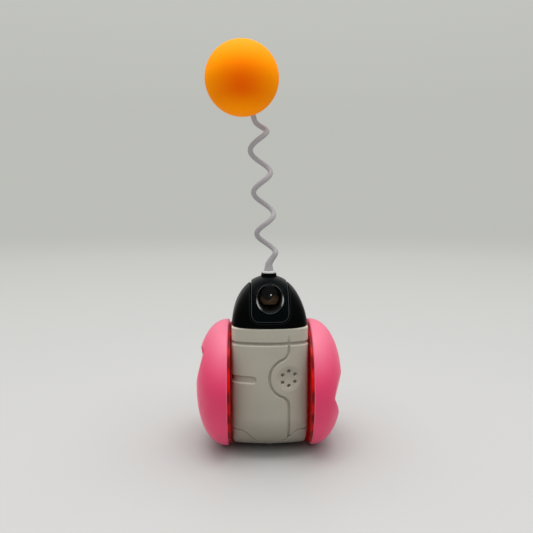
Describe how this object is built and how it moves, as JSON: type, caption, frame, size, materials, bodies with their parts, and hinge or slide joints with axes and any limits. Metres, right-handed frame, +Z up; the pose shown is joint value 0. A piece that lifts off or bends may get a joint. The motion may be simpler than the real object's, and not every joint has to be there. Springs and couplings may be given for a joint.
{
  "type": "wobble squeaky pet toy",
  "caption": "Self-righting electronic pet toy: egg-shaped sound body on a low weighted axle between domed wheels, with a ball swaying on a coiled wand.",
  "frame": {"origin": "on the floor under the middle of the axle", "axes": "+Z up, +X along the axle towards the right wheel as seen from the front, -Y towards the front with the eye"},
  "size_m": [0.0832, 0.072, 0.2258],
  "materials": {
    "grey_shell": "fine-textured warm grey moulding",
    "black_gloss": "polished black moulding",
    "smoked_lens": "smoked brown polished window",
    "clear_plastic": "clear moulded lamp",
    "white_plastic": "white moulding",
    "dark_plastic": "dark grey moulding",
    "board_green": "green lacquered board",
    "screw_steel": "zinc-plated steel",
    "axle_steel": "ground steel rod",
    "ballast_iron": "raw cast iron",
    "speaker_metal": "pressed bright metal",
    "contact_brass": "bare brass",
    "pink_wheel": "smooth satin pink moulding",
    "red_disc": "translucent red moulding",
    "wand_grey": "pale grey flexible moulding",
    "orange_ball": "satin orange moulding"
  },
  "bodies": {
    "body": {"front_shell": "grey_shell", "rear_shell": "grey_shell", "bottom_cover": "grey_shell", "cover_screws": "screw_steel", "shell_screws": "screw_steel", "battery_door": "grey_shell", "door_screw": "screw_steel", "head_shell": "black_gloss", "face_plate": "black_gloss", "eye_bezel": "black_gloss", "eye_lens": "smoked_lens", "eye_led": "clear_plastic", "wand_socket": "black_gloss", "wand_plug": "white_plastic", "axle": "axle_steel", "ballast": "ballast_iron", "loudspeaker": "speaker_metal", "speaker_ring": "white_plastic", "sound_board": "board_green", "board_screws": "screw_steel", "sound_chip": "dark_plastic", "motion_switch": "speaker_metal", "cell_tray": "dark_plastic", "button_cells": "speaker_metal", "cell_contacts": "contact_brass", "switch_body": "dark_plastic", "left_clip": "screw_steel", "right_clip": "screw_steel"},
    "left_wheel": {"left_wheel_dome": "pink_wheel", "left_wheel_disc": "red_disc", "left_bush": "contact_brass"},
    "right_wheel": {"right_wheel_dome": "pink_wheel", "right_wheel_disc": "red_disc", "right_bush": "contact_brass"},
    "wand": {"wand_spring": "wand_grey"},
    "bobble": {"ball": "orange_ball"},
    "knob": {"switch_knob": "dark_plastic"}
  },
  "joints": [
    {"name": "left_wheel_spin", "type": "hinge", "parent": "body", "child": "left_wheel", "pos_m": [-0.0261, 0, 0.036], "axis": [1, 0, 0], "continuous": true},
    {"name": "right_wheel_spin", "type": "hinge", "parent": "body", "child": "right_wheel", "pos_m": [0.0261, 0, 0.036], "axis": [1, 0, 0], "continuous": true},
    {"name": "wand_sway", "type": "hinge", "parent": "body", "child": "wand", "pos_m": [-0.0016, -0.0001, 0.122], "axis": [0, 1, 0], "range_deg": [-35, 35], "stiffness_Nm_per_rad": 0.12, "springref_deg": 0.4, "deforming": ["wand_spring"]},
    {"name": "ball_nod", "type": "hinge", "parent": "wand", "child": "bobble", "pos_m": [-0.0045, -0.0004, 0.16], "axis": [1, 0, 0], "range_deg": [-35, 35], "stiffness_Nm_per_rad": 0.08, "springref_deg": -0.21, "deforming": ["wand_spring"]},
    {"name": "power_switch", "type": "slide", "parent": "body", "child": "knob", "axis": [1, 0, 0], "range_m": [0, 0.003]}
  ]
}
